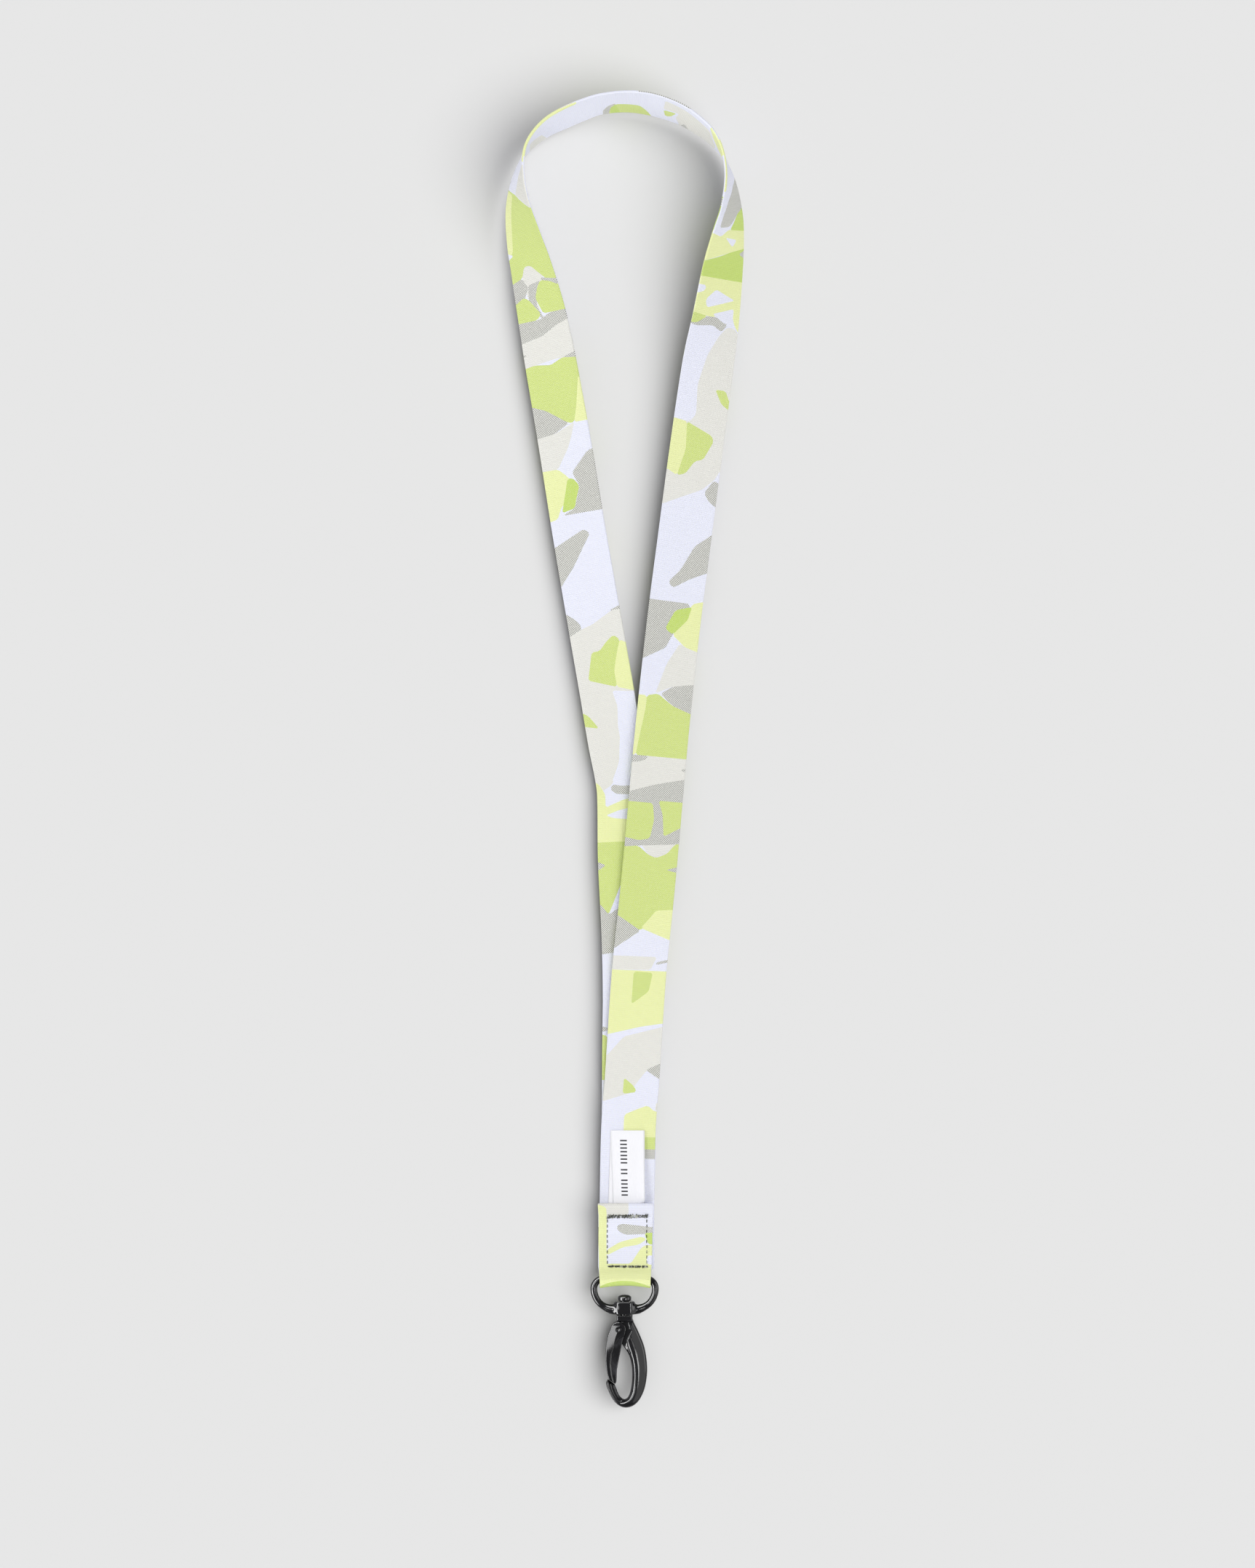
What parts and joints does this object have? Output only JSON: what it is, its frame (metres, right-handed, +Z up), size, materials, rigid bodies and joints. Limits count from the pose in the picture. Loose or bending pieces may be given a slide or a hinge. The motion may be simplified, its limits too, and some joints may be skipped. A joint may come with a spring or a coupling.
{
  "type": "neck lanyard",
  "caption": "Flat printed webbing neck lanyard sewn round a swivel ring that carries a spring-gated trigger hook, with a small folded satin label.",
  "frame": {"origin": "centre of the bounding box, on the surface that the lanyard lies on", "axes": "+X across the lanyard, +Y along it towards the neck loop, +Z up from the surface"},
  "size_m": [0.0873, 0.4792, 0.02],
  "materials": {
    "webbing": "printed polyester webbing",
    "satin": "white satin",
    "thread": "polyester sewing thread",
    "black_metal": "gloss black lacquered zinc",
    "spring_steel": "bright wire"
  },
  "bodies": {
    "strap": {"neck_strap": "webbing", "label_root": "satin", "upper_bartack": "thread", "lower_bartack": "thread", "left_stitch_line": "thread", "right_stitch_line": "thread"},
    "label": {"label_flap": "satin"},
    "ring": {"swivel_ring": "black_metal"},
    "hook": {"swivel_rivet": "black_metal", "hook_body": "black_metal", "gate_pin": "black_metal", "gate_spring": "spring_steel"},
    "gate": {"gate": "black_metal"}
  },
  "joints": [
    {"name": "label_lift", "type": "hinge", "parent": "strap", "child": "label", "pos_m": [0.0011, -0.1643, 0.00244], "axis": [1, 0, 0], "range_deg": [0, 90]},
    {"name": "ring_swing", "type": "hinge", "parent": "strap", "child": "ring", "pos_m": [0, -0.1925, 0.0028], "axis": [1, 0, 0], "range_deg": [-90, 90]},
    {"name": "hook_swivel", "type": "hinge", "parent": "ring", "child": "hook", "pos_m": [0, -0.2034, 0.0028], "axis": [0, 1, 0], "continuous": true},
    {"name": "gate_press", "type": "hinge", "parent": "hook", "child": "gate", "pos_m": [-0.0023, -0.2108, 0.0028], "axis": [0, 0, 1], "range_deg": [0, 14], "stiffness_Nm_per_rad": 0.04, "springref_deg": -17.19, "deforming": ["gate_spring"]}
  ]
}
